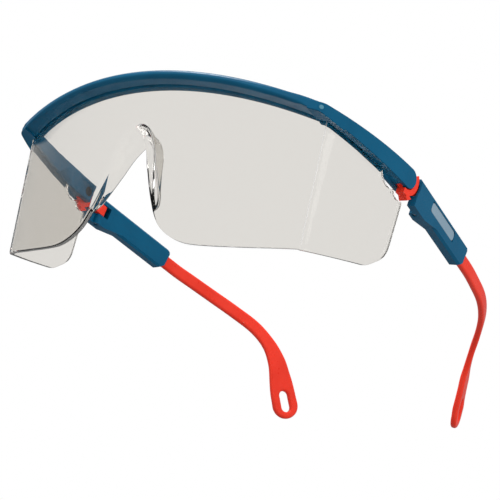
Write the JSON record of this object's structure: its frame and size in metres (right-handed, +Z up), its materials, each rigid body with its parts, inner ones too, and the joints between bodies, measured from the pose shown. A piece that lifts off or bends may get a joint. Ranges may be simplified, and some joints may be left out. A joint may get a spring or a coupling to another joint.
{
  "type": "safety goggles",
  "caption": "One-piece wrap-round safety goggles with a clear lens, a blue brow frame, and red temples that tilt, fold inwards and slide in blue sleeves",
  "frame": {"origin": "on the surface that the goggles stand on, midway between the wearer's left and right and midway between front and rear", "axes": "+X to the wearer's left, +Y from the lens to the temple tips, +Z up, standing on the lens's lower edge and the temple tips"},
  "size_m": [0.1594, 0.1844, 0.0609],
  "materials": {
    "clear_lens": "polished clear polycarbonate",
    "blue_nylon": "satin moulded",
    "red_nylon": "satin moulded",
    "label": "plain, no print",
    "dark_pin": "moulded",
    "steel_pin": "drawn wire"
  },
  "bodies": {
    "frame": {"lens": "clear_lens", "brow_frame": "blue_nylon", "left_tilt_pin": "dark_pin", "right_tilt_pin": "dark_pin"},
    "left_joint": {"left_tilt_joint": "red_nylon", "left_fold_pin": "steel_pin"},
    "left_sleeve_body": {"left_sleeve": "blue_nylon", "left_label_plate": "label"},
    "left_temple_body": {"left_temple": "red_nylon"},
    "right_joint": {"right_tilt_joint": "red_nylon", "right_fold_pin": "steel_pin"},
    "right_sleeve_body": {"right_sleeve": "blue_nylon", "right_label_plate": "label"},
    "right_temple_body": {"right_temple": "red_nylon"}
  },
  "joints": [
    {"name": "left_tilt", "type": "hinge", "parent": "frame", "child": "left_joint", "pos_m": [0.0764, -0.02953, 0.04762], "axis": [1, 0, 0], "range_deg": [-10, 10]},
    {"name": "left_fold", "type": "hinge", "parent": "left_joint", "child": "left_sleeve_body", "pos_m": [0.076, -0.01719, 0.04539], "axis": [0, 0.0985, 0.9951], "range_deg": [0, 90]},
    {"name": "left_slide", "type": "slide", "parent": "left_sleeve_body", "child": "left_temple_body", "axis": [0.1271, -0.9871, 0.0977], "range_m": [0, 0.01]},
    {"name": "right_tilt", "type": "hinge", "parent": "frame", "child": "right_joint", "pos_m": [-0.0764, -0.02953, 0.04762], "axis": [1, 0, 0], "range_deg": [-10, 10]},
    {"name": "right_fold", "type": "hinge", "parent": "right_joint", "child": "right_sleeve_body", "pos_m": [-0.076, -0.01719, 0.04539], "axis": [0, 0.0985, 0.9951], "range_deg": [-90, 0]},
    {"name": "right_slide", "type": "slide", "parent": "right_sleeve_body", "child": "right_temple_body", "axis": [-0.1271, -0.9871, 0.0977], "range_m": [0, 0.01]}
  ]
}
